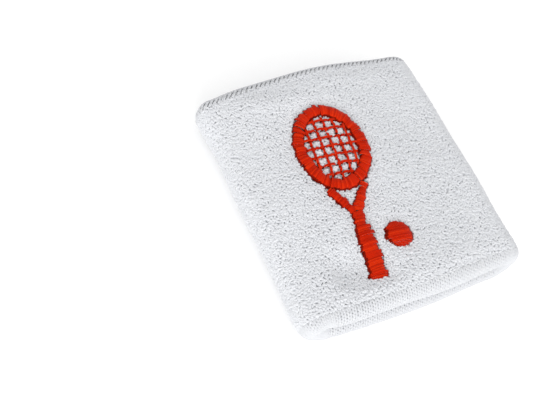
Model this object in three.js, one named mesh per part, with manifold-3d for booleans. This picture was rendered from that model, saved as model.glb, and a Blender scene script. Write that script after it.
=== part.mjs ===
// A terry sweat wristband for racket sports, lying flat on its back wall.
// It is knitted as one double-length elastic tube and folded back into itself,
// so each wall has an outer and an inner terry layer. The two layers meet in a
// rounded fold at each mouth, and the tube's ends are sewn together inside.
// A satin-stitched racket and ball decorates the front wall.
//
// Millimetres. +Z up, X across the pressed width, Y along the tube's axis.
// The origin is under the band's middle, on the surface that it lies on.

import * as THREE from 'three';
import { mergeVertices } from 'three/addons/utils/BufferGeometryUtils.js';
import Module from 'manifold-3d';

// Driving dimensions of the pressed band.
const WIDTH = 80; // across the pressed tube, over the terry
const LENGTH = 86; // from mouth to mouth, at the middle of the width
const THICKNESS = 17.5; // of the whole pressed band at its side folds
const CROWN = 1.6; // how far the front wall swells above its side folds
const MOUTH_BOW = 2.6; // how far each mouth's middle stands out past its corners

// Layers of one wall, measured inwards from its outer face.
const WALL = 6.45; // both terry layers and what lies between them
const LAYER = 2.3; // one terry layer: ground knit and pile
const GAP = 0.3; // clearance that parts touching each other keep

// Folds at the mouths, and the seam.
const RIM_RUN = 4.6; // length of a mouth's rounded fold along the tube
const SEAM_LEG = 5; // the near fold's inner leg, from the fold to the seam
const SEAM_GROOVE = 2; // width of the groove that the seam's thread lies in
const SEAM_THREAD_RADIUS = 0.25;
const SEAM_SWING = 0.4; // half the thread's swing across the seam
const SEAM_STITCHES = 36;
const SEAM_STEPS_PER_STITCH = 4;
const SEAM_DEPTH = 5.6; // the thread's depth below the wall's outer face

// Elastic yarn laid into each terry layer, between the two.
const ELASTIC_RADIUS = 0.22;
const ELASTIC_DEPTH = 3.62;
const ELASTIC_TURNS = 7;
const ELASTIC_STEPS_PER_TURN = 24;

// Embroidery: a racket lying along the tube, and a ball beside its grip.
const EMBLEM_X = -9.5;
const EMBLEM_Y = -3.5;
const EMBLEM_TILT = THREE.MathUtils.degToRad(-7);
const EMBLEM_LENGTH = 61;
const HEAD_LENGTH = 31;
const HEAD_WIDTH = 25;
const HEAD_RING = 4; // width of the head's satin column
const STRING_WIDTH = 0.9;
const STRING_PITCH = 3.2;
const THROAT_LENGTH = 8;
const THROAT_COLUMN = 3; // width of each leg of the throat
const THROAT_SPREAD = 7.5; // from the racket's axis to a leg's outer edge, at the head
const THROAT_OVERLAP = 3; // how far a leg runs into the head before it is trimmed
const LEG_SLANT = 1.15; // a slanted leg's width across the racket, over its true width
const SHAFT_WIDTH = 4;
const GRIP_WIDTH = 5.6;
const GRIP_LENGTH = 15;
const BUTT_WIDTH = 6.8;
const BUTT_LENGTH = 2;
const BALL_RADIUS = 4.6;
const BALL_ASIDE = 10.6; // from the racket's axis to the ball's centre
const BALL_ALONG = -18; // from the emblem's middle to the ball's centre
const SATIN_HEIGHT = 0.8;
const SATIN_ROUND = 0.25; // bevel along the edges of a satin column
const BACKING_DEPTH = 2.55; // the backing's upper face, under the shell
const BACKING_THICKNESS = 0.2;
const BACKING_MARGIN = 3.5;
const BOBBIN_DEPTH = 2.95;
const BOBBIN_THICKNESS = 0.2;
const BOBBIN_WIDTH = 1.3; // the bobbin thread shows in the middle of a column

// Facets.
const SIDE_STEPS = 12; // on each of the four sides of the tube's section
const FOLD_OUTER_STEPS = 8;
const FOLD_INNER_STEPS = 4;
const THREAD_SIDES = 5;
const OVAL_SIDES = 32;
const BALL_SIDES = 24;
const BOBBIN_BALL_SIDES = 16;
const BACKING_STEPS_ACROSS = 6;
const BACKING_STEPS_ALONG = 4;
const MERGE_DISTANCE = 1e-4;

// Derived sizes.
const SIDE_RADIUS = THICKNESS / 2;
const FLAT_HALF = WIDTH / 2 - SIDE_RADIUS; // half of the section's flat span
const FOLD_START = LENGTH / 2 - RIM_RUN; // where the mouths' folds begin
const SEAM_EDGE = FOLD_START - SEAM_LEG;
const BUTT_END = -EMBLEM_LENGTH / 2;
const HEAD_MIDDLE = EMBLEM_LENGTH / 2 - HEAD_LENGTH / 2;
const THROAT_END = HEAD_MIDDLE - HEAD_LENGTH / 2 - THROAT_LENGTH;

const wasm = await Module();
wasm.setup();

const material = (color, roughness) =>
  new THREE.MeshStandardMaterial({ color, roughness, metalness: 0 });

const terry = () => material(0xd9dade, 0.95);
const liningTerry = () => material(0xd3d4d8, 0.95);
const redThread = () => material(0xc42c14, 0.5);
const seamThread = () => material(0xc9cbce, 0.7);
const elasticYarn = () => material(0xe6e2d8, 0.6);
const backingFelt = () => material(0xf0f0ee, 0.9);
const bobbinThread = () => material(0xf4f4f2, 0.6);

const group = new THREE.Group();

function addPiece(name, geometry, pieceMaterial) {
  const piece = new THREE.Mesh(geometry, pieceMaterial);
  piece.name = name;
  group.add(piece);
}

// Merges shared corners, so that a closed surface is closed in its indices too.
function welded(geometry) {
  const bare = geometry.clone();
  bare.deleteAttribute('normal');
  bare.deleteAttribute('uv');
  return mergeVertices(bare, MERGE_DISTANCE);
}

function toManifold(geometry) {
  const shape = welded(geometry);
  return new wasm.Manifold(new wasm.Mesh({
    numProp: 3,
    vertProperties: new Float32Array(shape.attributes.position.array),
    triVerts: new Uint32Array(shape.index.array),
  }));
}

function fromManifold(solid) {
  const mesh = solid.getMesh();
  const geometry = new THREE.BufferGeometry();
  geometry.setAttribute('position', new THREE.BufferAttribute(mesh.vertProperties, 3));
  geometry.setIndex(new THREE.BufferAttribute(mesh.triVerts, 1));
  return geometry;
}

// Height of the front wall's swell at a distance x from the middle.
function crownAt(x) {
  const reach = Math.min(Math.abs(x) / FLAT_HALF, 1);
  return CROWN * (1 + Math.cos(Math.PI * reach)) / 2;
}

// A point of the pressed tube. turn goes once round the section from 0 to 1,
// through the back wall, the right fold, the front wall and the left fold.
// depth is measured inwards from the outer face, and y runs along the tube.
function pressedPoint(turn, depth, y) {
  const quarter = ((turn % 1) + 1) % 1 * 4;
  const side = Math.floor(quarter);
  const along = quarter - side;
  let x;
  let z;
  let outerX;
  if (side % 2 === 0) {
    const front = side === 2;
    x = FLAT_HALF * (2 * along - 1) * (front ? -1 : 1);
    z = front ? THICKNESS + crownAt(x) - depth : depth;
    outerX = x;
  } else {
    const sign = side === 1 ? 1 : -1;
    const angle = Math.PI * (along - 0.5);
    x = sign * (FLAT_HALF + (SIDE_RADIUS - depth) * Math.cos(angle));
    z = SIDE_RADIUS + sign * (SIDE_RADIUS - depth) * Math.sin(angle);
    outerX = FLAT_HALF + SIDE_RADIUS * Math.cos(angle);
  }
  const bow = MOUTH_BOW / (LENGTH / 2) * (outerX / (WIDTH / 2)) ** 2;
  return new THREE.Vector3(x, y * (1 - bow), z);
}

// Knits a profile of [depth, y] points into a round tube and presses it flat.
function knitTube(profile) {
  const roundRadius = WIDTH;
  const closed = [...profile, profile[0]].reverse();
  const points = closed.map(([depth, y]) => new THREE.Vector2(roundRadius - depth, y));
  const tube = welded(new THREE.LatheGeometry(points, SIDE_STEPS * 4));
  const position = tube.attributes.position;
  for (let i = 0; i < position.count; i += 1) {
    const x = position.getX(i);
    const z = position.getZ(i);
    const turn = Math.atan2(x, z) / (2 * Math.PI);
    const step = Math.round(turn * SIDE_STEPS * 4) / (SIDE_STEPS * 4);
    const p = pressedPoint(step, roundRadius - Math.hypot(x, z), position.getY(i));
    position.setXYZ(i, p.x, p.y, p.z);
  }
  return tube;
}

// The [depth, y] points of a mouth's fold: one terry layer turned back on itself.
// end is 1 at the far mouth and -1 at the near one.
function foldProfile(end, innerLeg) {
  const profile = [];
  for (let i = 0; i <= FOLD_OUTER_STEPS; i += 1) {
    const angle = Math.PI * i / FOLD_OUTER_STEPS;
    profile.push([WALL / 2 * (1 - Math.cos(angle)), FOLD_START + RIM_RUN * Math.sin(angle)]);
  }
  if (innerLeg > 0) {
    profile.push([WALL, FOLD_START - innerLeg]);
    profile.push([WALL - LAYER, FOLD_START - innerLeg]);
  }
  for (let i = 0; i <= FOLD_INNER_STEPS; i += 1) {
    const angle = Math.PI * (1 - i / FOLD_INNER_STEPS);
    const depth = WALL / 2 - (WALL / 2 - LAYER) * Math.cos(angle);
    profile.push([depth, FOLD_START + (RIM_RUN - LAYER) * Math.sin(angle)]);
  }
  const placed = profile.map(([depth, y]) => [depth, y * end]);
  return end > 0 ? placed : placed.reverse();
}

function layerProfile(depth, nearY, farY) {
  return [[depth, nearY], [depth, farY], [depth + LAYER, farY], [depth + LAYER, nearY]];
}

// A curve laid on the pressed tube. It is stepped evenly by its own parameter,
// so a thread has its steps where the tube's section bends.
class PressedCurve extends THREE.Curve {
  constructor(pointAt) {
    super();
    this.pointAt = pointAt;
  }

  getPoint(t) {
    return this.pointAt(t);
  }

  getUtoTmapping(u) {
    return u;
  }
}

// A round thread along a curve, with flat ends.
function thread(pointAt, radius, steps) {
  const section = ellipseShape(radius, radius, 0, THREAD_SIDES);
  const extrudePath = new PressedCurve(pointAt);
  return welded(new THREE.ExtrudeGeometry(section, { steps, bevelEnabled: false, extrudePath }));
}

// Elastic yarn winding along the tube between the two terry layers.
function elasticHelix(startTurn) {
  const reach = FOLD_START - GAP - ELASTIC_RADIUS;
  const pointAt = (t) => {
    const turn = startTurn + t * ELASTIC_TURNS;
    return pressedPoint(turn, ELASTIC_DEPTH, reach * (2 * t - 1));
  };
  return thread(pointAt, ELASTIC_RADIUS, ELASTIC_TURNS * ELASTIC_STEPS_PER_TURN);
}

// The closing seam's thread, swinging to and fro across the groove between the
// near fold's inner leg and the lining. Its two ends stay a stitch apart.
function closingSeam() {
  const middle = SEAM_GROOVE / 2 - SEAM_EDGE;
  const wholeTurn = 1 - 1 / SEAM_STITCHES;
  const pointAt = (t) => {
    const swing = SEAM_SWING * Math.cos(2 * Math.PI * SEAM_STITCHES * t);
    return pressedPoint(t * wholeTurn, SEAM_DEPTH, middle + swing);
  };
  return thread(pointAt, SEAM_THREAD_RADIUS, SEAM_STITCHES * SEAM_STEPS_PER_STITCH);
}

// Lays flat embroidery work on the front wall. Its own Y runs along the racket
// from butt to tip, and its z is the height above the wall's outer face.
function drape(flat, lift) {
  const work = flat.index ? flat : welded(flat);
  work.rotateZ(EMBLEM_TILT);
  work.translate(EMBLEM_X, EMBLEM_Y, 0);
  const position = work.attributes.position;
  for (let i = 0; i < position.count; i += 1) {
    const x = position.getX(i);
    position.setZ(i, position.getZ(i) + THICKNESS + crownAt(x) + lift);
  }
  return work;
}

function ellipseShape(halfWidth, halfLength, y, count) {
  const shape = new THREE.Shape();
  for (let i = 0; i < count; i += 1) {
    const angle = 2 * Math.PI * i / count;
    const point = [halfWidth * Math.cos(angle), y + halfLength * Math.sin(angle)];
    shape[i === 0 ? 'moveTo' : 'lineTo'](...point);
  }
  shape.closePath();
  return shape;
}

function polygonShape(points) {
  const shape = new THREE.Shape();
  shape.setFromPoints(points.map(([x, y]) => new THREE.Vector2(x, y)));
  shape.closePath();
  return shape;
}

// A satin-stitched area: a low pad with a rounded edge.
function satinPad(shape) {
  return new THREE.ExtrudeGeometry(shape, {
    depth: SATIN_HEIGHT - SATIN_ROUND,
    bevelEnabled: true,
    bevelThickness: SATIN_ROUND,
    bevelSize: SATIN_ROUND,
    bevelOffset: -SATIN_ROUND,
    bevelSegments: 1,
  });
}

function slab(shape, height) {
  return new THREE.ExtrudeGeometry(shape, { depth: height, bevelEnabled: false });
}

function bar(width, length, height, x, y) {
  const box = new THREE.BoxGeometry(width, length, height);
  box.translate(x, y, height / 2);
  return box;
}

// The tip of a satin pad's bevel starts below its base plane, so a pad is lifted.
const SATIN_LIFT = GAP + SATIN_ROUND;

const headHole = (margin) => [
  HEAD_WIDTH / 2 - HEAD_RING - margin,
  HEAD_LENGTH / 2 - HEAD_RING - margin,
];

function headRing() {
  const ring = ellipseShape(HEAD_WIDTH / 2, HEAD_LENGTH / 2, HEAD_MIDDLE, OVAL_SIDES);
  ring.holes.push(ellipseShape(...headHole(0), HEAD_MIDDLE, OVAL_SIDES));
  return satinPad(ring);
}

// Running stitches crossing inside the head, joined where they cross.
function stringBed(margin, height) {
  const [halfWidth, halfLength] = headHole(margin);
  const oval = ellipseShape(halfWidth, halfLength, HEAD_MIDDLE, OVAL_SIDES);
  const outline = toManifold(slab(oval, height));
  let strings = null;
  const addString = (box) => {
    const solid = toManifold(box);
    strings = strings ? strings.add(solid) : solid;
  };
  const mains = Math.floor(halfWidth / STRING_PITCH);
  for (let i = -mains; i <= mains; i += 1) {
    addString(bar(STRING_WIDTH, HEAD_LENGTH, height, i * STRING_PITCH, HEAD_MIDDLE));
  }
  const crosses = Math.floor(halfLength / STRING_PITCH);
  for (let i = -crosses; i <= crosses; i += 1) {
    addString(bar(HEAD_WIDTH, STRING_WIDTH, height, 0, HEAD_MIDDLE + i * STRING_PITCH));
  }
  return fromManifold(strings.intersect(outline));
}

// Two legs running from the head down to the shaft.
function throat() {
  const top = HEAD_MIDDLE - HEAD_LENGTH / 2 + THROAT_OVERLAP;
  const foot = SHAFT_WIDTH / 2;
  const innerEdge = THROAT_SPREAD - THROAT_COLUMN * LEG_SLANT;
  const legs = polygonShape([
    [-foot, THROAT_END],
    [foot, THROAT_END],
    [THROAT_SPREAD, top],
    [innerEdge, top],
    [0, THROAT_END + THROAT_COLUMN],
    [-innerEdge, top],
    [-THROAT_SPREAD, top],
  ]);
  const head = ellipseShape(HEAD_WIDTH / 2 + GAP, HEAD_LENGTH / 2 + GAP, HEAD_MIDDLE, OVAL_SIDES);
  const cutter = slab(head, SATIN_HEIGHT * 4); // reaches past both faces of the pad
  cutter.translate(0, 0, -SATIN_HEIGHT * 2);
  return fromManifold(toManifold(satinPad(legs)).subtract(toManifold(cutter)));
}

function grip() {
  const shaftEnd = BUTT_END + BUTT_LENGTH + GRIP_LENGTH;
  const buttEnd = BUTT_END + BUTT_LENGTH;
  const half = [
    [SHAFT_WIDTH / 2, THROAT_END - GAP],
    [SHAFT_WIDTH / 2, shaftEnd],
    [GRIP_WIDTH / 2, shaftEnd],
    [GRIP_WIDTH / 2, buttEnd],
    [BUTT_WIDTH / 2, buttEnd],
    [BUTT_WIDTH / 2, BUTT_END],
  ];
  const other = half.map(([x, y]) => [-x, y]).reverse();
  return satinPad(polygonShape([...half, ...other]));
}

function ball() {
  const pad = satinPad(ellipseShape(BALL_RADIUS, BALL_RADIUS, 0, BALL_SIDES));
  pad.translate(BALL_ASIDE, BALL_ALONG, 0);
  return pad;
}

// A cut-away sheet that keeps the knit from stretching under the needle.
function backing() {
  const right = BALL_ASIDE + BALL_RADIUS + BACKING_MARGIN;
  const left = -HEAD_WIDTH / 2 - BACKING_MARGIN;
  const length = EMBLEM_LENGTH + 2 * BACKING_MARGIN;
  const size = [right - left, length, BACKING_THICKNESS];
  const sheet = new THREE.BoxGeometry(...size, BACKING_STEPS_ACROSS, BACKING_STEPS_ALONG);
  sheet.translate((left + right) / 2, 0, -BACKING_THICKNESS / 2);
  return welded(sheet);
}

// The lower thread's side of the design, joined by the run to the ball.
function bobbinSide() {
  const height = BOBBIN_THICKNESS;
  const inset = (HEAD_RING - BOBBIN_WIDTH) / 2;
  const ringWidth = HEAD_WIDTH / 2 - inset;
  const ringLength = HEAD_LENGTH / 2 - inset;
  const ring = ellipseShape(ringWidth, ringLength, HEAD_MIDDLE, OVAL_SIDES);
  const hole = [ringWidth - BOBBIN_WIDTH, ringLength - BOBBIN_WIDTH];
  ring.holes.push(ellipseShape(...hole, HEAD_MIDDLE, OVAL_SIDES));
  const shaftTop = HEAD_MIDDLE - ringLength + BOBBIN_WIDTH / 2;
  const shaftLength = shaftTop - BUTT_END - BUTT_LENGTH / 2;
  const parts = [
    slab(ring, height),
    bar(BOBBIN_WIDTH, shaftLength, height, 0, shaftTop - shaftLength / 2),
    bar(BALL_ASIDE, BOBBIN_WIDTH / 2, height, BALL_ASIDE / 2, BALL_ALONG),
  ];
  const ballCore = slab(ellipseShape(BALL_RADIUS / 2, BALL_RADIUS / 2, 0, BOBBIN_BALL_SIDES), height);
  ballCore.translate(BALL_ASIDE, BALL_ALONG, 0);
  parts.push(ballCore);
  const joined = parts.map(toManifold).reduce((sum, part) => sum.add(part));
  return fromManifold(joined);
}

// The knitted tube.
const shellEnd = FOLD_START - GAP;
const liningNear = -(SEAM_EDGE - SEAM_GROOVE);
addPiece('outer_terry_shell', knitTube(layerProfile(0, -shellEnd, shellEnd)), terry());
addPiece(
  'inner_terry_lining',
  knitTube(layerProfile(WALL - LAYER, liningNear, shellEnd)),
  liningTerry(),
);
addPiece('near_mouth_fold', knitTube(foldProfile(-1, SEAM_LEG)), terry());
addPiece('far_mouth_fold', knitTube(foldProfile(1, 0)), terry());
addPiece('closing_seam_thread', closingSeam(), seamThread());
addPiece('outer_layer_elastic_yarn', elasticHelix(0), elasticYarn());
addPiece('inner_layer_elastic_yarn', elasticHelix(0.5), elasticYarn());

// The embroidery.
addPiece('racket_head_stitching', drape(headRing(), SATIN_LIFT), redThread());
addPiece('racket_string_stitching', drape(stringBed(GAP, SATIN_HEIGHT / 2), GAP), redThread());
addPiece('racket_throat_stitching', drape(throat(), SATIN_LIFT), redThread());
addPiece('racket_grip_stitching', drape(grip(), SATIN_LIFT), redThread());
addPiece('ball_stitching', drape(ball(), SATIN_LIFT), redThread());
addPiece('embroidery_backing', drape(backing(), -BACKING_DEPTH), backingFelt());
addPiece('bobbin_stitching', drape(bobbinSide(), -BOBBIN_DEPTH - BOBBIN_THICKNESS), bobbinThread());

export default group;
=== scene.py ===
import math

import bpy
import numpy as np
from mathutils import Matrix, Vector


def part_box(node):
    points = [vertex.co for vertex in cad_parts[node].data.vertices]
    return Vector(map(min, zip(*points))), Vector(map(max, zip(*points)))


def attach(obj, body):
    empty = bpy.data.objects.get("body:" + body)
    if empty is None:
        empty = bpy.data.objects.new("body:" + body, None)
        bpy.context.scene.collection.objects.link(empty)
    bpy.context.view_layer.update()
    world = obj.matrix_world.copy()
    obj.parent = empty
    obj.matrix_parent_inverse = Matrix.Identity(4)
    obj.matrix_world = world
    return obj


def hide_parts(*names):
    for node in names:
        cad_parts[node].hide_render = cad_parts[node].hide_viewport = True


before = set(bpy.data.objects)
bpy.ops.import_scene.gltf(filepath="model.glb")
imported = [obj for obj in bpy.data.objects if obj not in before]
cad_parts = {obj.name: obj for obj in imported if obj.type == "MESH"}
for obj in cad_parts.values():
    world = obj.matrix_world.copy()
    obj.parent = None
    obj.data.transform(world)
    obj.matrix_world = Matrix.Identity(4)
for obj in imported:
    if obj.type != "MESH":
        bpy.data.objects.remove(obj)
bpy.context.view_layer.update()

MM = 0.001


def box_mm(node):
    low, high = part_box(node)
    return np.array(low) / MM, np.array(high) / MM


# The pressed band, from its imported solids.
shell_low, shell_high = box_mm("outer_terry_shell")
near_low, _ = box_mm("near_mouth_fold")
_, far_high = box_mm("far_mouth_fold")
lining_low, _ = box_mm("inner_terry_lining")

LAYER = 2.3  # one terry layer's thickness
CROWN = 1.6  # how far the front wall swells above its side folds
MOUTH_BOW = 2.6  # how far a mouth's middle stands out past its corners
KEPT_GAP = 0.3  # between the shell and the folds
WIDTH = shell_high[0] - shell_low[0]
LENGTH = far_high[1] - near_low[1]
THICKNESS = shell_high[2] - CROWN
WALL = lining_low[2] + LAYER
FOLD_START = shell_high[1] + KEPT_GAP
RIM_RUN = LENGTH / 2 - FOLD_START
SIDE_RADIUS = THICKNESS / 2
FLAT_HALF = WIDTH / 2 - SIDE_RADIUS
ARC = math.pi * SIDE_RADIUS
GIRTH = 4 * FLAT_HALF + 2 * ARC
FRONT_START = 2 * FLAT_HALF + ARC  # the girth at the front wall's right edge

# The knit. Levels are heights above the pile's own level, and spreads are the
# standard deviations of what varies from stitch to stitch.
WALES = 108  # stitches round the tube
WALE = GIRTH / WALES
COURSE = 1.0  # height of a row of stitches
GROUND_LEVEL = -0.72  # the ground knit's upper side, below the tips of the pile
GROUND_THICKNESS = 0.5
GROUND_CELL = (1.0, 0.8)  # its mesh's cells, in girth and lap
PLAIN_BAND = 10.4  # length of the plain knit courses at a mouth's crest
PLAIN_ROWS = 9
PLAIN_YARN = 0.45  # radius
PLAIN_LEVEL = -0.6
PLAIN_ARCH = 0.12
LEG_LEAN = 0.3  # how far each leg of a plain stitch leans out
STITCH_REACH = 0.62  # half a stitch's height, in courses
OPEN_YARN = 0.27  # radius, in open courses, which leave gaps
OPEN_PITCH = 0.46
OPEN_LEVEL = -0.42
OPEN_ARCH = 0.3
OPEN_SLANT = 0.83  # how far an open stitch leans for its height
STITCH_SPREAD = 0.06  # of an open stitch's level
OPEN_PITCH_SHARE = 0.5  # of the level's unevenness, in an open stitch's half pitch
PLAIN_LEVEL_SHARE = 0.3  # and in a plain stitch's level
LEG_SPREADS = (0.03, 0.04)  # of a leg's place, in girth and lap

# The pile.
PILE_YARN = 0.37  # radius
PILE_HEIGHT = 0.63
PILE_TAPER = 3.5  # over which it grows from its low edge next to the plain courses
PILE_EDGE = 0.55  # the low edge's height, as a share
LOOP_OUTLINE = np.array([  # sideways and upwards
    (-0.20, 0.0), (-0.42, 0.50), (-0.34, 0.88), (0.0, 1.03), (0.34, 0.88), (0.42, 0.50), (0.20, 0.0),
])
LOOP_WIDTH = 1.05
LOOP_TURN = 0.9  # radians from the courses, on average
LOOP_LEAN = 0.22  # of each loop by itself
FIELD_LEAN = 0.25  # of a whole patch of loops
LEAN_CURVE = 1.4  # a loop leans more towards its top
ROOT_DEPTH = 0.1  # how far a loop starts below the ground knit's upper side
PLACE_SPREADS = (0.10, 0.12)  # of a loop's place, in girth and lap
WIDTH_SPREAD = 0.12  # of its width, as a share
HEIGHT_SPREAD = 0.10  # of its height, as a share
TURN_SPREAD = 1.0  # of its turn
TWIST_SPREAD = 0.5  # of how much more it turns on its way up
YARN_SPREAD = 0.08  # of its yarn's radius, as a share

# Where the soft fabric leaves its solids' plain shape.
LIP = 0.22  # what is left of half the slot between the walls, at a mouth
LIP_REACH = 16  # how far into the band its walls stand closer than their solids
INNER_CLOSENESS = 0.35  # how much closer they stand past that, as a share
CORNER_PULLS = {  # how far each corner is drawn out in x and y
    (-1, 1): (1.6, 0.8),
    (1, 1): (0.3, 0.6),
    (-1, -1): (0.5, 0.8),
    (1, -1): (0.6, 1.2),
}
CORNER_REACH = (12, 20)  # in x and y
BEVEL = (1.4, 2.3, 5.0)  # the left side fold's: depth, girth from the front wall, half width
FIRM_EDGE = (0.4, 9, 2.5)  # below the bevel: height, and its place as above
FAR_SLOPE_RUN = 5  # over which the front wall slopes down to the far mouth
FAR_SLOPE_DROP = 0.4
NEAR_SLOPE_RUN = 4
NEAR_SLOPE_DROP = 0.3
SLOPE_FADE = 10  # the slopes' width across the front wall's side edges
UNEVENNESS = 0.28
UNEVENNESS_SEED = 12
FLOOR_GAP = 0.02  # between the floor and the yarns that lie on it
FLOOR_STEP = 0.05  # how much higher deeper threads stay there, for their depth

# Embroidery, in the racket's own axes: across it, and along it from butt to tip.
EMBLEM_X = -9.5
EMBLEM_Y = -3.5
EMBLEM_TILT = math.radians(-7)
EMBLEM_LENGTH = 61
HEAD_LENGTH = 31
HEAD_WIDTH = 25
HEAD_RING = 4
STRING_PITCH = 3.2
STRING_WIDTH = 0.9
THROAT_LENGTH = 8
THROAT_COLUMN = 3
THROAT_OVERLAP = (0.5, 1.2)  # how far a leg runs into the shaft's end and under the head
THROAT_FOOT = 0.4  # half the distance between the legs' lower ends
THROAT_SPREAD = 0.3  # from the middle to a leg's outer edge at the head, by the head's width
SHAFT_WIDTH = 4
GRIP_WIDTH = 5.6
GRIP_LENGTH = 15
BUTT_WIDTH = 6.8
BUTT_LENGTH = 2
BALL_RADIUS = 4.6
BALL_ASIDE = 10.6
BALL_ALONG = -18
TIP_END = EMBLEM_LENGTH / 2
BUTT_END = -EMBLEM_LENGTH / 2
GRIP_START = BUTT_END + BUTT_LENGTH
GRIP_END = GRIP_START + GRIP_LENGTH
HEAD_MIDDLE = TIP_END - HEAD_LENGTH / 2
HEAD_START = HEAD_MIDDLE - HEAD_LENGTH / 2
THROAT_END = HEAD_START - THROAT_LENGTH
HEAD_OUTER = (HEAD_WIDTH / 2, HEAD_LENGTH / 2)  # the ring's half axes
HEAD_INNER = (HEAD_WIDTH / 2 - HEAD_RING, HEAD_LENGTH / 2 - HEAD_RING)
DRAWN_DOWN = (0.55, 2.6)  # the fabric under and beside the stitches: depth and reach
DENTS = [  # depth, middle across and along, half size across and along
    (1.0, -5, BUTT_END + 3.5, 16, 6),
    (1.3, -11, BUTT_END + 6.5, 8, 5.5),
    (-0.6, -10, TIP_END + 3, 14, 3),
]
DENT_FADE = (8, 4)  # over which dents end at the front wall's edges, in x and y


# ---------------------------------------------------------------- curves

def hill(distance, half_width):
    """A soft hill of height 1 round distance 0."""
    return np.exp(-((distance / half_width) ** 2))


def smooth_step(share):
    """Goes softly from 0 to 1 as the share does, and stays level past both."""
    share = np.clip(share, 0, 1)
    return share**2 * (3 - 2 * share)


def soft_noise(seed, u, v, waves=14):
    """A smooth random field from -1 to 1 about, periodic in both u and v over 1."""
    rng = np.random.default_rng(seed)
    total = np.zeros(np.broadcast(u, v).shape)
    for _ in range(waves):
        turns = rng.integers(-5, 6)
        laps = rng.integers(-5, 6)
        phase = rng.random() * 2 * np.pi
        total += np.sin(2 * np.pi * (turns * u + laps * v) + phase)
    return total / math.sqrt(waves)


def unit(v):
    return v / np.maximum(np.linalg.norm(v, axis=-1, keepdims=True), 1e-9)


# ---------------------------------------------------------------- the pressed tube

def crown_at(x):
    reach = np.minimum(np.abs(x) / FLAT_HALF, 1)
    return CROWN * (1 + np.cos(np.pi * reach)) / 2


def bow_at(x):
    """By which share the band is shorter at x than along its middle."""
    return MOUTH_BOW / (LENGTH / 2) * (x / (WIDTH / 2)) ** 2


def front_x(girth):
    """The x of a point of the front wall. Past the wall's edges it goes on evenly."""
    return FLAT_HALF - (np.mod(girth, GIRTH) - FRONT_START)


def pressed(girth, depth, y):
    """Points of the pressed tube: girth is measured round its outside, from the
    back wall's left end, depth inwards from the outer face, and y along it."""
    g = np.mod(girth, GIRTH)
    span = 2 * FLAT_HALF
    right = (g - span) / SIDE_RADIUS - np.pi / 2
    left = (g - 2 * span - ARC) / SIDE_RADIUS + np.pi / 2
    front = front_x(girth)
    radius = SIDE_RADIUS - depth
    zones = [g < span, g < span + ARC, g < 2 * span + ARC]

    def x_at(radius):
        back_right_front = [g - FLAT_HALF, FLAT_HALF + radius * np.cos(right), front]
        return np.select(zones, back_right_front, -FLAT_HALF + radius * np.cos(left))

    z = np.select(
        zones,
        [depth, SIDE_RADIUS + radius * np.sin(right), THICKNESS + crown_at(front) - depth],
        SIDE_RADIUS + radius * np.sin(left),
    )
    return np.stack([x_at(radius), y * (1 - bow_at(x_at(SIDE_RADIUS))), z], axis=-1)


def lap_table():
    """The fabric's lap in depth and y: along the outside from the near mouth,
    round the far fold, back along the inside and round the near fold."""
    angle = np.linspace(0, np.pi, 41)
    fold_depth = WALL / 2 * (1 - np.cos(angle))
    fold_y = RIM_RUN * np.sin(angle)
    depth = np.concatenate([[0], fold_depth, fold_depth[::-1]])
    y = np.concatenate([[-FOLD_START], FOLD_START + fold_y, -FOLD_START - fold_y[::-1]])
    out_depth = -np.cos(angle) / (WALL / 2)
    out_y = np.sin(angle) / RIM_RUN
    size = np.hypot(out_depth, out_y)
    out_depth, out_y = out_depth / size, out_y / size
    normal_depth = np.concatenate([[-1], out_depth, out_depth[::-1]])
    normal_y = np.concatenate([[0], out_y, -out_y[::-1]])
    along = np.concatenate([[0], np.cumsum(np.hypot(np.diff(depth), np.diff(y)))])
    return along, depth, y, normal_depth, normal_y


LAP_ALONG, LAP_DEPTH, LAP_Y, LAP_NORMAL_DEPTH, LAP_NORMAL_Y = lap_table()
LAP = LAP_ALONG[-1]
OUTER_LAP = 2 * FOLD_START
FOLD_LAP = (LAP - 2 * OUTER_LAP) / 2
FAR_CREST = OUTER_LAP + FOLD_LAP / 2
NEAR_CREST = LAP - FOLD_LAP / 2
LINING_START = OUTER_LAP + FOLD_LAP


def on_front(girth, lap):
    return (np.abs(front_x(girth)) < FLAT_HALF) & (lap < OUTER_LAP)


def front_xy(girth, lap):
    """Where a point of the front wall's outside lies, seen from above."""
    x = front_x(girth)
    return x, (lap - FOLD_START) * (1 - bow_at(x))


def front_place(x, y):
    """The girth and lap of the front wall's point at x and y."""
    return FRONT_START + FLAT_HALF - x, y / (1 - bow_at(x)) + FOLD_START


# ---------------------------------------------------------------- the racket's outline

def emblem_local(x, y):
    dx, dy = x - EMBLEM_X, y - EMBLEM_Y
    c, s = math.cos(EMBLEM_TILT), math.sin(EMBLEM_TILT)
    return c * dx + s * dy, -s * dx + c * dy


def emblem_world(across, along):
    c, s = math.cos(EMBLEM_TILT), math.sin(EMBLEM_TILT)
    return EMBLEM_X + c * across - s * along, EMBLEM_Y + s * across + c * along


def ellipse_distance(across, along, half_axes):
    half_width, half_length = half_axes
    reach = np.hypot(across / half_width, along / half_length)
    slope = np.hypot(across / half_width**2, along / half_length**2) / np.maximum(reach, 1e-6)
    return (reach - 1) / np.maximum(slope, 1e-6)


def box_distance(across, along, width, low, high):
    dx = np.abs(across) - width / 2
    dy = np.abs(along - (low + high) / 2) - (high - low) / 2
    outside = np.hypot(np.maximum(dx, 0), np.maximum(dy, 0))
    return outside + np.minimum(np.maximum(dx, dy), 0)


def segment_distance(across, along, start, end):
    a, b = np.array(start), np.array(end)
    d = b - a
    t = np.clip(((across - a[0]) * d[0] + (along - a[1]) * d[1]) / (d @ d), 0, 1)
    return np.hypot(across - a[0] - t * d[0], along - a[1] - t * d[1])


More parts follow.
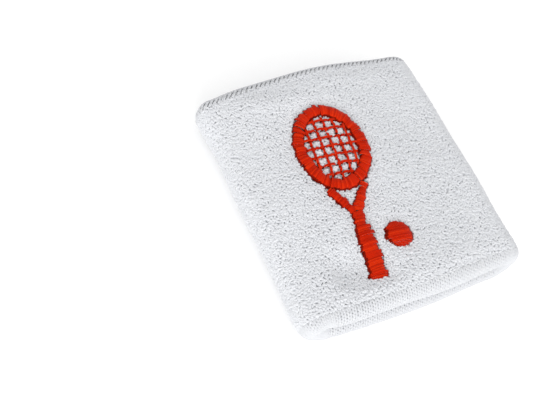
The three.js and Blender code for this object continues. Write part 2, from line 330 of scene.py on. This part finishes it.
def throat_legs():
    """Each leg's centreline, from the shaft up to the head."""
    foot = THROAT_END + THROAT_OVERLAP[0]
    top = HEAD_START + THROAT_OVERLAP[1]
    spread = HEAD_WIDTH * THROAT_SPREAD - THROAT_COLUMN / 2
    return [((side * THROAT_FOOT, foot), (side * spread, top)) for side in (-1, 1)]


def satin_distance(across, along):
    """How far a point is outside the satin-stitched areas: below 0 inside them."""
    y = along - HEAD_MIDDLE
    areas = [
        np.maximum(ellipse_distance(across, y, HEAD_OUTER), -ellipse_distance(across, y, HEAD_INNER)),
        box_distance(across, along, SHAFT_WIDTH, GRIP_START, THROAT_END),
        box_distance(across, along, GRIP_WIDTH, GRIP_START, GRIP_END),
        box_distance(across, along, BUTT_WIDTH, BUTT_END, GRIP_START),
        np.hypot(across - BALL_ASIDE, along - BALL_ALONG) - BALL_RADIUS,
    ]
    for start, end in throat_legs():
        areas.append(segment_distance(across, along, start, end) - THROAT_COLUMN / 2)
    return np.minimum.reduce(areas)


def string_distance(across, along):
    """How far a point is from the racket's strings, or infinity outside its head."""
    y = along - HEAD_MIDDLE
    to_main = np.abs(across - STRING_PITCH * np.round(across / STRING_PITCH))
    to_cross = np.abs(y - STRING_PITCH * np.round(y / STRING_PITCH))
    inside = ellipse_distance(across, y, HEAD_INNER) < 0
    return np.where(inside, np.minimum(to_main, to_cross) - STRING_WIDTH / 2, np.inf)


# ---------------------------------------------------------------- the soft skin

def outer_slump(girth, lap):
    """How far the outer layer sinks: its left side fold is a flat bevel with a firm
    edge below it, and the front wall slopes down to both mouths."""
    outer_share = 1 - np.interp(lap, LAP_ALONG, LAP_DEPTH) / WALL
    x = front_x(girth)
    round_left = -FLAT_HALF - x
    bevel = BEVEL[0] * hill(round_left - BEVEL[1], BEVEL[2])
    bevel -= FIRM_EDGE[0] * hill(round_left - FIRM_EDGE[1], FIRM_EDGE[2])
    y = np.interp(lap, LAP_ALONG, LAP_Y)
    to_far = smooth_step((y - FOLD_START) / FAR_SLOPE_RUN + 1)
    to_near = np.clip((-y - FOLD_START) / NEAR_SLOPE_RUN + 1, 0, 1) ** 2
    on_wall = smooth_step((FLAT_HALF - np.abs(x)) / SLOPE_FADE + 0.5)
    slope = FAR_SLOPE_DROP * to_far + NEAR_SLOPE_DROP * to_near
    return outer_share * (bevel + slope * on_wall)


def front_dent(girth, lap):
    """How far the embroidery draws the front wall down, beside it and in folds."""
    x, y = front_xy(girth, lap)
    across, along = emblem_local(x, y)
    away = satin_distance(across, along)
    dent = DRAWN_DOWN[0] * hill(np.maximum(away, 0), DRAWN_DOWN[1])
    for depth, middle_across, middle_along, half_across, half_along in DENTS:
        dent += depth * hill(across - middle_across, half_across) * hill(along - middle_along, half_along)
    inside_x = smooth_step((FLAT_HALF - np.abs(x)) / DENT_FADE[0])
    inside_y = smooth_step((FOLD_START - np.abs(y)) / DENT_FADE[1])
    return dent * inside_x * inside_y


def swell(girth, lap):
    """How far the soft fabric stands above or below its plain shape."""
    uneven = UNEVENNESS * soft_noise(UNEVENNESS_SEED, girth / GIRTH, lap / LAP)
    return uneven - outer_slump(girth, lap) - front_dent(girth, lap)


def half_slot(girth):
    """Half the height that the two walls' linings leave free between them."""
    x = front_x(girth)
    return THICKNESS / 2 - WALL + np.where(np.abs(x) < FLAT_HALF, crown_at(x), 0) / 2


def lean_in(girth, depth, y):
    """How much deeper than its solid the inner face of a soft wall sits."""
    from_mouth = smooth_step((LENGTH / 2 - np.abs(y)) / LIP_REACH)
    closeness = 1 - (1 - INNER_CLOSENESS) * from_mouth
    return closeness * depth / WALL * (half_slot(girth) - LIP)


def draw_out_corners(points):
    """Move points near the corners, where the soft fabric is tighter than its solids."""
    x, y = points[..., 0].copy(), points[..., 1].copy()
    for (side, end), (pull_x, pull_y) in CORNER_PULLS.items():
        beside = hill(side * x - WIDTH / 2, CORNER_REACH[0])
        share = beside * smooth_step((end * y - LENGTH / 2) / CORNER_REACH[1] + 1)
        points[..., 0] += side * pull_x * share
        points[..., 1] += end * pull_y * share


def skin(girth, lap, height, rest=0.0):
    """Points at a height above the pile's own level, on the soft fabric. None of
    them is lower than rest above the floor."""
    girth, lap, height = np.broadcast_arrays(girth, lap, height)
    lap = np.mod(lap, LAP)
    depth = np.interp(lap, LAP_ALONG, LAP_DEPTH)
    y = np.interp(lap, LAP_ALONG, LAP_Y)
    depth = depth + lean_in(girth, depth, y)
    out_depth = np.interp(lap, LAP_ALONG, LAP_NORMAL_DEPTH)
    out_y = np.interp(lap, LAP_ALONG, LAP_NORMAL_Y)
    size = np.hypot(out_depth, out_y)
    rise = height + swell(girth, lap)
    points = pressed(girth, depth + rise * out_depth / size, y + rise * out_y / size)
    draw_out_corners(points)
    lowest = rest + FLOOR_GAP + FLOOR_STEP * np.maximum(-height, 0)
    points[..., 2] = np.maximum(points[..., 2], lowest)
    return points


# ---------------------------------------------------------------- meshes

TUBE_SIDES = 6


def add_mesh(name, points, quads, materials, material_index=None, smooth=True):
    mesh = bpy.data.meshes.new(name)
    mesh.vertices.add(len(points))
    mesh.vertices.foreach_set("co", (np.asarray(points) * MM).astype(np.float32).ravel())
    mesh.loops.add(quads.size)
    mesh.loops.foreach_set("vertex_index", quads.astype(np.int32).ravel())
    mesh.polygons.add(len(quads))
    mesh.polygons.foreach_set("loop_start", np.arange(0, quads.size, 4, dtype=np.int32))
    for material in materials:
        mesh.materials.append(material)
    if material_index is not None:
        mesh.polygons.foreach_set("material_index", material_index.astype(np.int32))
    mesh.polygons.foreach_set("use_smooth", np.full(len(quads), smooth))
    mesh.update(calc_edges=True)
    mesh.validate()
    piece = bpy.data.objects.new(name, mesh)
    bpy.context.scene.collection.objects.link(piece)
    return piece


def tube_caps(last, sides):
    """The quads that close a tube's two ends. last is its last ring's first point."""
    if sides == 4:
        return np.array([[0, 3, 2, 1], [last, last + 1, last + 2, last + 3]])
    return np.array([
        [0, 3, 2, 1], [0, 5, 4, 3],
        [last, last + 1, last + 2, last + 3], [last, last + 3, last + 4, last + 5],
    ])


def tubes(paths, radius, side, sides=TUBE_SIDES):
    """Closed round tubes, of 4 or 6 sides, along many paths of one length. side is a
    direction across each path. Returns points, quads and the path of each quad."""
    count, rings, _ = paths.shape
    tangent = unit(np.gradient(paths, axis=1))
    across = side[:, None, :] - (side[:, None, :] * tangent).sum(-1, keepdims=True) * tangent
    across = unit(across)
    other = np.cross(tangent, across)
    angle = 2 * np.pi * np.arange(sides) / sides
    radius = np.broadcast_to(radius, (count, rings))[:, :, None, None]
    circle = (
        np.cos(angle)[None, None, :, None] * across[:, :, None, :]
        + np.sin(angle)[None, None, :, None] * other[:, :, None, :]
    )
    points = paths[:, :, None, :] + radius * circle
    k = np.arange(sides)
    ring = np.arange(rings - 1)[:, None] * sides
    corners = [ring + k, ring + (k + 1) % sides, ring + sides + (k + 1) % sides, ring + sides + k]
    wall = np.stack(corners, -1).reshape(-1, 4)
    one = np.concatenate([wall, tube_caps((rings - 1) * sides, sides)])
    quads = one[None] + (np.arange(count) * rings * sides)[:, None, None]
    owner = np.repeat(np.arange(count), len(one))
    return points.reshape(-1, 3), quads.reshape(-1, 4), owner


def arch_normal(paths):
    """A direction across each arched path, square to the plane it arches in."""
    middle = paths.shape[1] // 2
    return unit(np.cross(paths[:, middle] - paths[:, 0], paths[:, -1] - paths[:, 0]))


# ---------------------------------------------------------------- materials

TERRY_TINTS = [(0.658, 0.668, 0.694), (0.646, 0.656, 0.682), (0.670, 0.679, 0.70), (0.652, 0.662, 0.688)]
PLAIN_PAINTED_SHADE = 0.87  # painted shade: the plain courses take a darker copy of the pile's yarn colours
GROUND_COLOR = (0.88, 0.884, 0.895)
SEAM_COLOR = (0.70, 0.71, 0.73)
# The last red is painted shade, for the thread ends where they dive into the pile.
RED_TINTS = [(0.60, 0.016, 0.002), (0.49, 0.010, 0.001), (0.71, 0.028, 0.003), (0.22, 0.004, 0.001)]
TINT_SHARES = (0.6, 0.2, 0.2)  # of the threads, for each red tint but the last
ROOT_PAINTED_SHADE_TINT = 3  # the painted shade red, on the thread's ends where it dives into the pile
ELASTIC_COLOR = (0.80, 0.76, 0.68)
FELT_COLOR = (0.86, 0.86, 0.84)
BOBBIN_COLOR = (0.88, 0.88, 0.87)


def principled(name, color, roughness, **sockets):
    material = bpy.data.materials.new(name)
    material.use_nodes = True
    shader = material.node_tree.nodes["Principled BSDF"]
    shader.inputs["Base Color"].default_value = (*color, 1)
    shader.inputs["Roughness"].default_value = roughness
    for socket, value in sockets.items():
        shader.inputs[socket.replace("_", " ")].default_value = value
    return material


def yarn_materials(name, shade=1.0):
    """One cotton material for each tint, scaled by shade, which below 1 is painted shade. Separate yarns
    take them at random.
    """
    cotton = {"roughness": 0.95, "Sheen_Weight": 0.3, "Sheen_Roughness": 0.6}
    return [
        principled(f"{name}_{i}", [shade * c for c in tint], **cotton)
        for i, tint in enumerate(TERRY_TINTS)
    ]


def spun(name, color, roughness, grains, darkest, bump_mm, **sockets):
    """A spun or felted textile: uneven colour and a fine bump, in grains per metre."""
    material = principled(name, color, roughness, **sockets)
    nodes, links = material.node_tree.nodes, material.node_tree.links
    shader = nodes["Principled BSDF"]
    place = nodes.new("ShaderNodeTexCoord")
    noise = nodes.new("ShaderNodeTexNoise")
    noise.inputs["Scale"].default_value = grains
    links.new(place.outputs["Object"], noise.inputs["Vector"])
    ramp = nodes.new("ShaderNodeValToRGB")
    ramp.color_ramp.elements[0].color = (*(darkest * np.array(color)), 1)
    ramp.color_ramp.elements[1].color = (*color, 1)
    links.new(noise.outputs["Fac"], ramp.inputs["Fac"])
    links.new(ramp.outputs["Color"], shader.inputs["Base Color"])
    bump = nodes.new("ShaderNodeBump")
    bump.inputs["Strength"].default_value = 0.5
    bump.inputs["Distance"].default_value = bump_mm * MM
    links.new(noise.outputs["Fac"], bump.inputs["Height"])
    links.new(bump.outputs["Normal"], shader.inputs["Normal"])
    return material


def red_thread(index, tint):
    rayon = {"Specular_IOR_Level": 0.35, "Specular_Tint": (1, 0.25, 0.08, 1)}
    look = {"roughness": 0.42, "grains": 1800, "darkest": 0.8, "bump_mm": 0.04}
    return spun(f"red_thread_{index}", tint, **look, **rayon)


terry_yarns = yarn_materials("terry_yarn")
# The plain courses' yarns: the pile's cotton, made darker as painted shade.
plain_yarns = yarn_materials("plain_yarn", PLAIN_PAINTED_SHADE)
ground_cotton = spun("ground_knit", GROUND_COLOR, roughness=0.95, grains=900, darkest=0.9, bump_mm=0.2)
seam_thread = spun(
    "seam_thread", SEAM_COLOR, roughness=0.6, grains=2500, darkest=0.85, bump_mm=0.05, Sheen_Weight=0.2
)
red_threads = [red_thread(i, tint) for i, tint in enumerate(RED_TINTS)]


# ---------------------------------------------------------------- ground knit

SEAM_INSET = 6  # from the near fold's inner end to the seam
SEAM_LAP = LINING_START + OUTER_LAP - SEAM_INSET
SEAM_GROOVE = 1.0  # between the knit's two ends


def ground_knit():
    """The double-length tube of ground knit, a thin closed sheet that is folded
    back into itself and open along the seam."""
    columns = int(round(GIRTH / GROUND_CELL[0]))
    rows = int(round((LAP - SEAM_GROOVE) / GROUND_CELL[1]))
    girth = np.arange(columns) * GIRTH / columns
    lap = np.linspace(SEAM_LAP + SEAM_GROOVE / 2 - LAP, SEAM_LAP - SEAM_GROOVE / 2, rows + 1)
    girths, laps = np.meshgrid(girth, lap)
    top = skin(girths, laps, GROUND_LEVEL)
    under = skin(girths, laps, GROUND_LEVEL - GROUND_THICKNESS)
    points = np.concatenate([top.reshape(-1, 3), under.reshape(-1, 3)])
    i, j = np.meshgrid(np.arange(rows), np.arange(columns), indexing="ij")
    a = (i * columns + j).ravel()
    b = (i * columns + (j + 1) % columns).ravel()
    face = np.stack([a, b, b + columns, a + columns], -1)
    size = (rows + 1) * columns
    first = np.arange(columns)
    last = rows * columns + first
    rim_a = np.stack([first, first + size, np.roll(first, -1) + size, np.roll(first, -1)], -1)
    rim_b = np.stack([last, np.roll(last, -1), np.roll(last, -1) + size, last + size], -1)
    quads = np.concatenate([face, face[:, ::-1] + size, rim_a, rim_b])
    piece = add_mesh("ground_knit", points, quads, [ground_cotton])
    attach(piece, "root")


ground_knit()


# ---------------------------------------------------------------- pile

PILE_MARGIN = 0.1  # between the pile and the strings, and under the satin's edge
LEAN_SEEDS = (50, 51)  # added to a piece's own seed, as the next two are
TINT_SEED = 9
LOOP_SEED = 20


def pile_height(lap):
    """The pile is lower next to the plain courses of a mouth."""
    from_far = np.abs(lap - FAR_CREST)
    from_near = np.minimum(np.abs(lap - NEAR_CREST), np.abs(lap - NEAR_CREST + LAP))
    grown = np.clip((np.minimum(from_far, from_near) - PLAIN_BAND / 2) / PILE_TAPER, 0, 1)
    return PILE_HEIGHT * (PILE_EDGE + (1 - PILE_EDGE) * grown)


def pile_loops(seed, girth, lap, sides):
    """Loops of pile yarn that rise from the given places on the skin."""
    rng = np.random.default_rng(seed)
    count = len(girth)
    up = LOOP_OUTLINE[:, 1]
    size = rng.normal(1.0, WIDTH_SPREAD, (count, 1))
    tall = pile_height(lap)[:, None] * rng.normal(1.0, HEIGHT_SPREAD, (count, 1))
    turn = rng.normal(LOOP_TURN, TURN_SPREAD, (count, 1)) + rng.normal(0, TWIST_SPREAD, (count, 1)) * up
    side = LOOP_WIDTH * LOOP_OUTLINE[:, 0] * size
    u, v = 3 * girth / GIRTH, 3 * lap / LAP
    field_g, field_l = [soft_noise(seed + more, u, v) for more in LEAN_SEEDS]
    lean_g = (rng.normal(0, LOOP_LEAN, count) + FIELD_LEAN * field_g)[:, None] * up**LEAN_CURVE
    lean_l = (rng.normal(0, LOOP_LEAN, count) + FIELD_LEAN * field_l)[:, None] * up**LEAN_CURVE
    girths = girth[:, None] + side * np.cos(turn) + lean_g
    laps = lap[:, None] + side * np.sin(turn) + lean_l
    paths = skin(girths, laps, GROUND_LEVEL - ROOT_DEPTH + tall * up, PILE_YARN)
    radius = PILE_YARN * rng.normal(1, YARN_SPREAD, (count, 1))
    return tubes(paths, radius, arch_normal(paths), sides)


def stitch_places(lap_from, lap_to, seed, per_stitch):
    """Where the pile's loops stand: so many on each stitch of the ground knit."""
    rng = np.random.default_rng(seed)
    rows = max(1, int(round((lap_to - lap_from) / COURSE)))
    row = (np.arange(rows) + 0.5) * (lap_to - lap_from) / rows + lap_from
    girth, lap = np.meshgrid(np.arange(WALES) * WALE, row)
    step = WALE / per_stitch
    girths = np.concatenate([(girth + (i - 0.5) * step).ravel() for i in range(per_stitch)])
    laps = np.concatenate([(lap + (i % 2 - 0.5) * COURSE / 2).ravel() for i in range(per_stitch)])
    girths += rng.normal(0, PLACE_SPREADS[0], girths.shape)
    laps += rng.normal(0, PLACE_SPREADS[1], laps.shape)
    return girths, laps


def clear_of_stitching(girth, lap):
    across, along = emblem_local(*front_xy(girth, lap))
    in_satin = satin_distance(across, along) < -PILE_MARGIN
    in_strings = string_distance(across, along) < PILE_MARGIN
    return ~(on_front(girth, lap) & (in_satin | in_strings))


def pile_piece(name, node, girth, lap, seed, sides):
    keep = clear_of_stitching(girth, lap)
    girth, lap = girth[keep], lap[keep]
    points, quads, owner = pile_loops(seed, girth, lap, sides)
    tints = np.random.default_rng(seed + TINT_SEED).integers(0, len(TERRY_TINTS), len(girth))
    piece = add_mesh(name, points, quads, terry_yarns, tints[owner])
    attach(piece, "root")
    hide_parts(node)


def cover_with_pile(prefix, node, slot, lap_from, lap_to, bands, seed, per_stitch=4, sides=TUBE_SIDES):
    """Pile over a stretch of the lap, in a few bands, each a piece of its own."""
    edges = np.linspace(lap_from, lap_to, bands + 1)
    for i in range(bands):
        girth, lap = stitch_places(edges[i], edges[i + 1], seed + i, per_stitch)
        pile_piece(f"{prefix}_{i + 1}", node, girth, lap, seed + LOOP_SEED + i, sides)


def all_pile():
    shell, lining = "outer_terry_shell", "inner_terry_lining"
    far, near = "far_mouth_fold", "near_mouth_fold"
    white, inner = "terry_white", "terry_lining"
    far_from, far_to = FAR_CREST - PLAIN_BAND / 2, FAR_CREST + PLAIN_BAND / 2
    near_from, near_to = NEAR_CREST - PLAIN_BAND / 2, NEAR_CREST + PLAIN_BAND / 2
    seam_from, seam_to = SEAM_LAP - SEAM_GROOVE / 2, SEAM_LAP + SEAM_GROOVE / 2
    sparse = {"per_stitch": 2, "sides": 4}
    cover_with_pile("outer_pile", shell, white, 0.0, OUTER_LAP, bands=16, seed=100)
    cover_with_pile("far_mouth_outer_pile", far, white, OUTER_LAP, far_from, bands=1, seed=200)
    cover_with_pile("far_mouth_inner_pile", far, white, far_to, LINING_START, bands=1, seed=220)
    cover_with_pile("lining_pile", lining, inner, LINING_START, seam_from, bands=6, seed=300, **sparse)
    cover_with_pile("seam_side_pile", near, white, seam_to, near_from, bands=2, seed=400)
    cover_with_pile("near_mouth_outer_pile", near, white, near_to, LAP, bands=1, seed=420)


all_pile()


# ---------------------------------------------------------------- mouth courses

def plain_courses(name, node, crest, open_rows, seed):
    """The plain knit courses that a mouth folds at. A stitch's two legs spread like a
    V. In the open courses they lean the same way, with a gap to the next stitch."""
    rng = np.random.default_rng(seed)
    course = PLAIN_BAND / PLAIN_ROWS
    t = np.linspace(-1, 1, 5)
    reach = STITCH_REACH * t
    wale, leg = np.repeat(np.arange(WALES), 2), np.tile([-1, 1], WALES)
    paths = []
    radius = []
    for row in range(PLAIN_ROWS):
        is_open = row < open_rows
        uneven = rng.normal(0, STITCH_SPREAD, WALES)[wale]
        half = OPEN_PITCH / 2 + OPEN_PITCH_SHARE * uneven if is_open else WALE / 4
        lean = np.full(leg.shape, -OPEN_SLANT * course) if is_open else LEG_LEAN * leg
        level = OPEN_LEVEL + uneven if is_open else PLAIN_LEVEL + PLAIN_LEVEL_SHARE * uneven
        arch = OPEN_ARCH if is_open else PLAIN_ARCH
        shift = -OPEN_SLANT * course * min(row, open_rows)
        girth = wale * WALE + shift + leg * half + rng.normal(0, LEG_SPREADS[0], len(leg))
        lap = crest + (row - (PLAIN_ROWS - 1) / 2) * course + rng.normal(0, LEG_SPREADS[1], len(leg))
        girths = girth[:, None] + lean[:, None] * reach
        laps = lap[:, None] + course * reach
        paths.append(skin(girths, laps, level[:, None] + arch * (1 - t**2), PLAIN_YARN))
        radius.append(np.full((len(leg), 1), OPEN_YARN if is_open else PLAIN_YARN))
    paths = np.concatenate(paths)
    points, quads, owner = tubes(paths, np.concatenate(radius), arch_normal(paths))
    tints = rng.integers(0, len(TERRY_TINTS), len(paths))
    piece = add_mesh(name, points, quads, plain_yarns, tints[owner])
    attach(piece, "root")
    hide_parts(node)


plain_courses("far_mouth_plain_courses", "far_mouth_fold", FAR_CREST, 2, 501)
plain_courses("near_mouth_plain_courses", "near_mouth_fold", NEAR_CREST, 0, 502)


# ---------------------------------------------------------------- seam

SEAM_YARN = 0.19  # radius
SEAM_REACH = (0.45, 1.15)  # half a stitch, in girth and lap
SEAM_LEVEL = -1.5
SEAM_ARCH = 0.75


def closing_seam():
    """Overlock stitches that join the tube's ends, just inside the near mouth."""
    t = np.linspace(-1, 1, 9)
    girth = (np.arange(WALES) + 0.5) * WALE
    girths = girth[:, None] + SEAM_REACH[0] * t
    laps = SEAM_LAP + SEAM_REACH[1] * t
    paths = skin(girths, laps, SEAM_LEVEL + SEAM_ARCH * (1 - t**2))
    points, quads, _ = tubes(paths, SEAM_YARN, arch_normal(paths))
    piece = add_mesh("closing_seam_stitches", points, quads, [seam_thread])
    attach(piece, "root")
    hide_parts("closing_seam_thread")


closing_seam()


# ---------------------------------------------------------------- embroidery

THREAD_RADIUS = 0.2
STRING_RADIUS = 0.17
THREAD_PITCH = 0.36
HEAD_CROWDING = 1.12  # more threads on the head's ring, which spread at its outer edge
THREADS_IN_BUNCH = 3
END_SPREADS = (0.24, 0.08)  # of the ends of bunches, and of threads in a bunch
LEVEL_SPREADS = (0.09, 0.035)  # of their levels
GRIP_SLANT = 0.25
COLUMN_DROP = 0.5  # how far below the pile's level a column's open end comes down
END_THREADS = 6  # over which it does
FULL_ARCH_LENGTH = 3.5  # a thread of this length arches 1 mm, a shorter one less
ARCH_LIMITS = (0.55, 1.15)
THREAD_AT = np.array([0, 0.03, 0.1, 0.26, 0.5, 0.74, 0.9, 0.97, 1])  # along a thread
THREAD_RISE = np.array([-2.0, -1.0, -0.45, -0.1, 0.0, -0.1, -0.45, -1.0, -2.0])
ROOT_SHADE_RINGS = 2  # how many rings of a thread's tube are its root, at each end, which take the painted shade red
RUNNING_STITCH = 2.1
RUNNING_OVERLAP = 0.1
STRING_THREADS = (-0.26, 0.0, 0.26)  # their places side by side
STRING_LIFT = -0.1


def column_share(count, falls):
    """Each thread's share of a column's height. It falls at the column's two ends,
    over the numbers of threads in falls, so that no end stands open."""
    index = np.arange(count)
    from_start = (index + 1) / (falls[0] + 1)
    from_end = (count - index) / (falls[1] + 1)
    return np.minimum(np.minimum(from_start, from_end), 1)


def satin(name, node, stitches, seed, lift=0.0, radius=THREAD_RADIUS, falls=(0, 0)):
    """Threads laid side by side. stitches holds their starts and their ends, across
    and along the racket. Each one dives into the pile at its ends and arches between
    them."""
    rng = np.random.default_rng(seed)
    starts, ends = [np.array(points, float) for points in stitches]
    count = len(starts)
    way = unit(ends - starts)
    bunch = np.arange(count) // THREADS_IN_BUNCH

    def uneven(spreads):
        of_bunch, of_thread = spreads
        by_bunch = rng.normal(0, of_bunch, bunch[-1] + 1)[bunch]
        return (by_bunch + rng.normal(0, of_thread, count))[:, None]

    starts = starts - way * uneven(END_SPREADS)
    ends = ends + way * uneven(END_SPREADS)
    flat = starts[:, None] + (ends - starts)[:, None] * THREAD_AT[None, :, None]
    girth, lap = front_place(*emblem_world(flat[..., 0], flat[..., 1]))
    arch = np.clip(np.linalg.norm(ends - starts, axis=1) / FULL_ARCH_LENGTH, *ARCH_LIMITS)[:, None]
    share = column_share(count, falls)[:, None]
    height = arch * share - COLUMN_DROP * (1 - share)
    paths = skin(girth, lap, lift + height + THREAD_RISE + uneven(LEVEL_SPREADS))
    c, s = math.cos(EMBLEM_TILT), math.sin(EMBLEM_TILT)
    across, along = way[:, 0], way[:, 1]
    side = np.stack([-(s * across + c * along), c * across - s * along, np.zeros(count)], -1)
    points, quads, owner = tubes(paths, radius, side)
    tints = rng.choice(len(TINT_SHARES), count, p=TINT_SHARES)[owner]
    rings = paths.shape[1]
    ring = quads.min(axis=1) % (rings * TUBE_SIDES) // TUBE_SIDES
    # Painted shade: a thread's root rings at both ends take the darkest red, for the shade where it dives
    # into the pile.
    tints[(ring < ROOT_SHADE_RINGS) | (ring > rings - 2 - ROOT_SHADE_RINGS)] = ROOT_PAINTED_SHADE_TINT
    piece = add_mesh(name, points, quads, red_threads, tints)
    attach(piece, "root")
    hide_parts(node)


def bars(half_width, low, high, slant=0.0):
    """Stitches across a straight column. half_width gives half its width at places
    along it."""
    along = np.arange(low + THREAD_PITCH / 2, high, THREAD_PITCH)
    half = half_width(along)
    return np.stack([-half, along - slant], -1), np.stack([half, along + slant], -1)


def even_bars(width, low, high, slant=0.0):
    return bars(lambda along: np.full(along.shape, width / 2), low, high, slant)


def head_stitches():
    around = np.pi * (HEAD_WIDTH + HEAD_LENGTH - 2 * HEAD_RING) / 2
    count = int(around / THREAD_PITCH * HEAD_CROWDING)
    angle = 2 * np.pi * np.arange(count) / count

    def ring(half_axes):
        return np.stack([half_axes[0] * np.cos(angle), HEAD_MIDDLE + half_axes[1] * np.sin(angle)], -1)

    return ring(HEAD_INNER), ring(HEAD_OUTER)


def throat_stitches():
    starts, ends = [], []
    for start, end in throat_legs():
        a, b = np.array(start), np.array(end)
        length = np.linalg.norm(b - a)
        along = (b - a) / length
        half = np.array([along[1], -along[0]]) * THROAT_COLUMN / 2
        for d in np.arange(0, length, THREAD_PITCH):
            middle = a + along * d
            starts.append(middle - half)
            ends.append(middle + half)
    return starts, ends


def grip_stitches():
    columns = [
        even_bars(BUTT_WIDTH, BUTT_END, GRIP_START),
        even_bars(GRIP_WIDTH, GRIP_START, GRIP_END, GRIP_SLANT),
        even_bars(SHAFT_WIDTH, GRIP_END, THROAT_END),
    ]
    return [np.concatenate(points) for points in zip(*columns)]


def ball_stitches():
    def half_width(along):
        return np.sqrt(BALL_RADIUS**2 - (along - BALL_ALONG) ** 2)

    starts, ends = bars(half_width, BALL_ALONG - BALL_RADIUS, BALL_ALONG + BALL_RADIUS)
    return starts + [BALL_ASIDE, 0], ends + [BALL_ASIDE, 0]


def string_line(at, end):
    """One string's running stitches, as threads from start to end, where the string
    runs from -end to end at a distance from the racket's middle."""
    count = max(1, round(2 * end / RUNNING_STITCH))
    cuts = np.linspace(-end, end, count + 1)
    for low, high in zip(cuts[:-1], cuts[1:]):
        for aside in STRING_THREADS:
            yield (at + aside, low - RUNNING_OVERLAP), (at + aside, high + RUNNING_OVERLAP)


def string_stitches():
    """The main strings' stitches, along the racket, and then the cross strings'."""
    starts, ends = [], []
    for is_cross, (reach, other) in enumerate((HEAD_INNER, HEAD_INNER[::-1])):
        lines = int(reach / STRING_PITCH)
        for i in range(-lines, lines + 1):
            at = i * STRING_PITCH
            end = other * math.sqrt(1 - (at / reach) ** 2)
            for p, q in string_line(at, end):
                starts.append(p[::-1] if is_cross else p)
                ends.append(q[::-1] if is_cross else q)
    middle = [0, HEAD_MIDDLE]
    return np.array(starts) + middle, np.array(ends) + middle


satin("racket_head_thread", "racket_head_stitching", head_stitches(), 601)
satin("racket_throat_thread", "racket_throat_stitching", throat_stitches(), 602)
satin("racket_grip_thread", "racket_grip_stitching", grip_stitches(), 603, falls=(END_THREADS, 0))
satin("ball_thread", "ball_stitching", ball_stitches(), 604, falls=(END_THREADS, END_THREADS))
satin(
    "racket_string_thread", "racket_string_stitching", string_stitches(), 605,
    lift=STRING_LIFT, radius=STRING_RADIUS,
)


# ---------------------------------------------------------------- hidden parts

hidden = {  # colour, roughness and grains
    "outer_layer_elastic_yarn": (ELASTIC_COLOR, 0.55, 1500),
    "inner_layer_elastic_yarn": (ELASTIC_COLOR, 0.55, 1500),
    "embroidery_backing": (FELT_COLOR, 0.9, 700),
    "bobbin_stitching": (BOBBIN_COLOR, 0.6, 2000),
}
for node, (color, roughness, grains) in hidden.items():
    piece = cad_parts[node]
    piece.data.materials.clear()
    piece.data.materials.append(spun(node, color, roughness, grains, darkest=0.85, bump_mm=0.1))


# ---------------------------------------------------------------- setting

CAMERA_RIGHT = Vector((0.87892, -0.40983, 0.24402))
CAMERA_UP = Vector((0.25912, 0.83978, 0.47711))
CAMERA_PLACE = Vector((-138.18, -92.30, 222.14 + SIDE_RADIUS))
CAMERA_LENS = 57.93
SENSOR_WIDTH = 36
CLIP_START = 0.01  # metres
KEY_PLACE = (-240, -540, 200)
KEY_TARGET = (0, 0, 5)
KEY_SIZE = 300
KEY_POWER = 1.3
FLOOR_HALF = 2500
FLOOR_COLOR = (0.95, 0.95, 0.95)
FLOOR_GLOW = 0.1
SKY_LEVEL = 1.05
SKY_SLOPE = 0.42  # how much brighter the sky is behind the camera
BEHIND_CAMERA = (-0.45, -0.89, 0)


def aim(thing, place, target):
    thing.location = Vector(place) * MM
    direction = (Vector(target) - Vector(place)).normalized()
    thing.rotation_euler = direction.to_track_quat("-Z", "Y").to_euler()


def add_key_light():
    data = bpy.data.lights.new("key", "AREA")
    data.shape = "DISK"
    data.size = KEY_SIZE * MM
    data.energy = KEY_POWER
    light = bpy.data.objects.new("key", data)
    bpy.context.scene.collection.objects.link(light)
    aim(light, KEY_PLACE, KEY_TARGET)


def add_camera():
    back = CAMERA_RIGHT.cross(CAMERA_UP).normalized()
    turn = Matrix((CAMERA_RIGHT, CAMERA_UP, back)).transposed().to_4x4()
    data = bpy.data.cameras.new("camera")
    data.sensor_width = SENSOR_WIDTH
    data.lens = CAMERA_LENS
    data.clip_start = CLIP_START
    camera = bpy.data.objects.new("camera", data)
    camera.matrix_world = Matrix.Translation(CAMERA_PLACE * MM) @ turn
    bpy.context.scene.collection.objects.link(camera)
    bpy.context.scene.camera = camera


def add_floor():
    corners = [(x * FLOOR_HALF, y * FLOOR_HALF, 0) for x, y in ((-1, -1), (1, -1), (1, 1), (-1, 1))]
    glow = {"Emission_Color": (1, 1, 1, 1), "Emission_Strength": FLOOR_GLOW}
    material = principled("floor", FLOOR_COLOR, roughness=0.7, **glow)
    floor = add_mesh("floor", corners, np.array([[0, 1, 2, 3]]), [material], smooth=False)


def add_world():
    """A white studio, brighter behind the camera than beyond the band."""
    world = bpy.data.worlds.new("studio")
    bpy.context.scene.world = world
    world.use_nodes = True
    nodes, links = world.node_tree.nodes, world.node_tree.links
    sky = nodes["Background"]
    sky.inputs["Color"].default_value = (1, 1, 1, 1)
    place = nodes.new("ShaderNodeTexCoord")
    toward = nodes.new("ShaderNodeVectorMath")
    toward.operation = "DOT_PRODUCT"
    toward.inputs[1].default_value = BEHIND_CAMERA
    links.new(place.outputs["Generated"], toward.inputs[0])
    level = nodes.new("ShaderNodeMath")
    level.operation = "MULTIPLY_ADD"
    level.inputs[1].default_value = SKY_SLOPE
    level.inputs[2].default_value = SKY_LEVEL
    links.new(toward.outputs["Value"], level.inputs[0])
    links.new(level.outputs["Value"], sky.inputs["Strength"])
    bpy.context.scene.view_settings.view_transform = "Standard"


add_camera()
add_floor()
add_world()
add_key_light()
